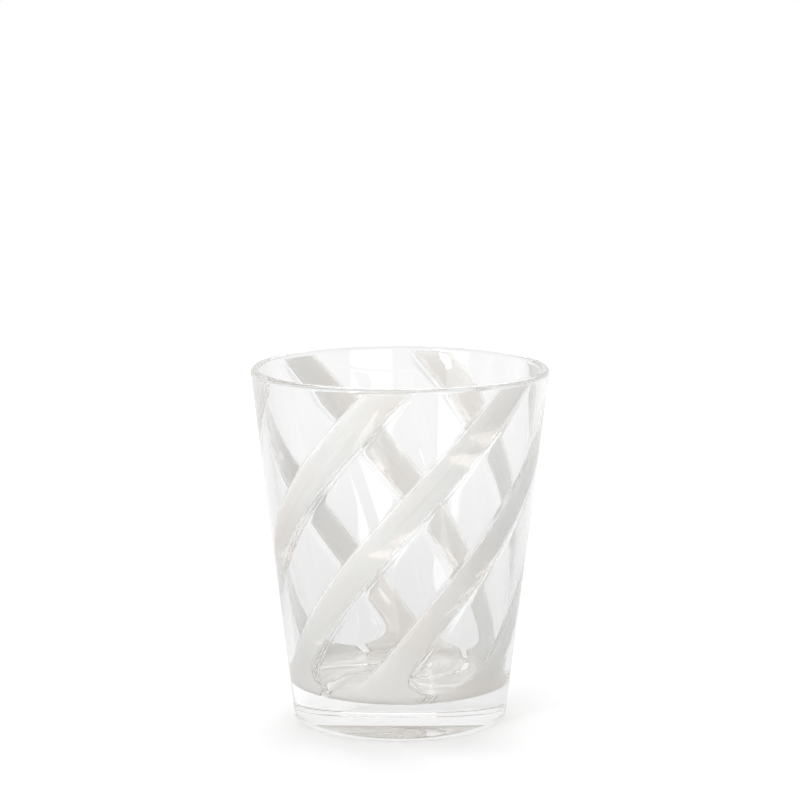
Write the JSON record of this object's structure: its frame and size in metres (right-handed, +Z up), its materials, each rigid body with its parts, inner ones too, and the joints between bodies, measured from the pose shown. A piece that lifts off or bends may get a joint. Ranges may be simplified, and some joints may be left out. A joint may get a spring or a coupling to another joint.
{
  "type": "drinking glass",
  "caption": "Flared clear tumbler with a heavy base, a rounded lip and white spiral bands cased in its wall and floor.",
  "frame": {"origin": "centre of the standing plane under the foot", "axes": "+Z up through the middle of the mouth, -Y the side shown in the picture"},
  "size_m": [0.088, 0.088, 0.105],
  "materials": {
    "clear_glass": "smooth, clear, fire-polished",
    "liner_glass": "smooth, clear, with soft spiral ribs",
    "white_glass": "opaque white, a little translucent at its lower edge"
  },
  "bodies": {
    "root": {"outer_casing": "clear_glass", "inner_liner": "liner_glass", "swirl_band_1": "white_glass", "swirl_band_2": "white_glass", "swirl_band_3": "white_glass", "swirl_band_4": "white_glass", "swirl_band_5": "white_glass", "swirl_band_6": "white_glass"}
  },
  "joints": []
}
